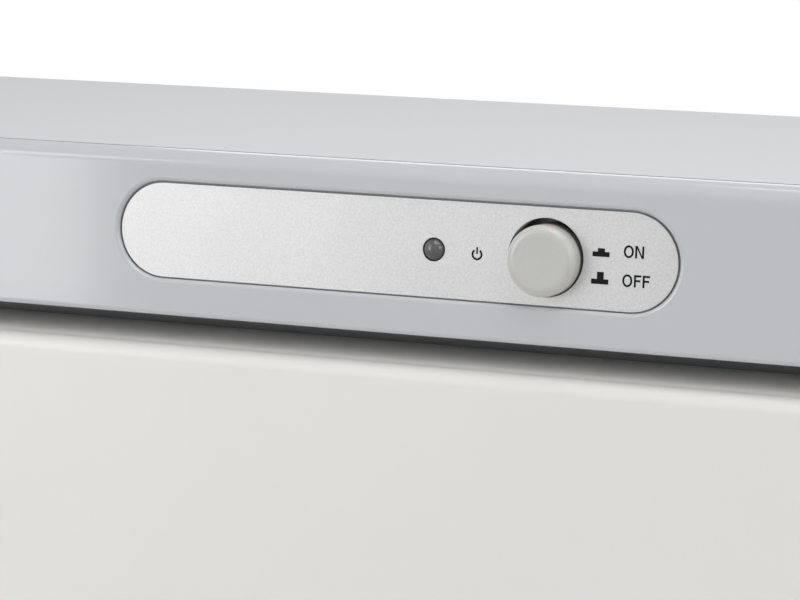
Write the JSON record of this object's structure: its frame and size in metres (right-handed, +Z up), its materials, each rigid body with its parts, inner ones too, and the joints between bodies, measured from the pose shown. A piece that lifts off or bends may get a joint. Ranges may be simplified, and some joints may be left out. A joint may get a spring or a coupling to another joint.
{
  "type": "compress warmer",
  "caption": "Bench-top warming cabinet with a drop-down front door, a heated chamber with a wire rack, a pull-out drip tray and a push-button control panel above the door.",
  "frame": {"origin": "floor level, under the middle of the overall width and depth", "axes": "+Z up; the door and control panel face -Y; +X to the right seen from the front"},
  "size_m": [0.45, 0.2694, 0.236],
  "materials": {
    "casing_paint": "satin",
    "fascia": "satin",
    "control_plate": "fine satin grain",
    "button": "satin",
    "lamp": "smoked, glossy",
    "door": "satin",
    "frame": "matte",
    "mouth_frame": "matte",
    "chamber": "satin",
    "zinc_steel": "zinc plated",
    "rack_wire": "plated",
    "fasteners": "plated",
    "black_plastic": "matte",
    "rubber_feet": "matte",
    "gasket": "matte",
    "insulation": "fibrous",
    "heater": "matte",
    "wire_brown": "satin",
    "wire_blue": "satin",
    "wire_white": "satin"
  },
  "bodies": {
    "cabinet": {"base_pan": "zinc_steel", "bracket_screw_inner": "fasteners", "bracket_screw_outer": "fasteners", "chamber_insulation": "insulation", "control_plate": "control_plate", "foot_front_left": "rubber_feet", "foot_front_right": "rubber_feet", "foot_rear_left": "rubber_feet", "foot_rear_right": "rubber_feet", "foot_screw_front_left": "fasteners", "foot_screw_front_right": "fasteners", "foot_screw_rear_left": "fasteners", "foot_screw_rear_right": "fasteners", "front_fascia": "fascia", "front_frame": "mouth_frame", "heat_shield": "zinc_steel", "heater_lead": "wire_white", "heater_mat": "heater", "hinge_cheek_left": "frame", "hinge_cheek_right": "frame", "hinge_pin_left": "fasteners", "hinge_pin_right": "fasteners", "inlet_screw_left": "fasteners", "inlet_screw_right": "fasteners", "inner_chamber": "chamber", "led_lamp": "lamp", "led_retainer": "black_plastic", "magnet_catch_left": "black_plastic", "magnet_catch_right": "black_plastic", "outer_wrap": "casing_paint", "power_inlet": "black_plastic", "rear_panel": "casing_paint", "rear_screw_high_left": "fasteners", "rear_screw_high_right": "fasteners", "rear_screw_low_left": "fasteners", "rear_screw_low_right": "fasteners", "switch_body": "black_plastic", "switch_bracket": "zinc_steel", "switch_spring": "fasteners", "terminal_block": "frame", "thermal_fuse": "zinc_steel", "thermostat": "black_plastic", "tray_guide_left": "frame", "tray_guide_right": "frame", "wire_live": "wire_brown", "wire_neutral": "wire_blue", "wire_rack": "rack_wire"},
    "door": {"door_shell": "door", "door_liner": "frame", "door_insulation": "insulation", "door_gasket": "gasket", "strike_plate_left": "zinc_steel", "strike_plate_right": "zinc_steel", "liner_screw_low_left": "fasteners", "liner_screw_low_right": "fasteners", "liner_screw_high_left": "fasteners", "liner_screw_high_right": "fasteners"},
    "power_button": {"power_button": "button"},
    "drip_tray": {"drip_tray": "frame"}
  },
  "joints": [
    {"name": "door_hinge", "type": "hinge", "parent": "cabinet", "child": "door", "pos_m": [0, -0.12455, 0.042], "axis": [1, 0, 0], "range_deg": [0, 90]},
    {"name": "button_push", "type": "slide", "parent": "cabinet", "child": "power_button", "axis": [0, 1, 0], "range_m": [0, 0.0032], "stiffness_N_per_m": 400, "springref_m": -0.002, "deforming": ["switch_spring"]},
    {"name": "tray_slide", "type": "slide", "parent": "cabinet", "child": "drip_tray", "axis": [0, -1, 0], "range_m": [0, 0.15]}
  ]
}
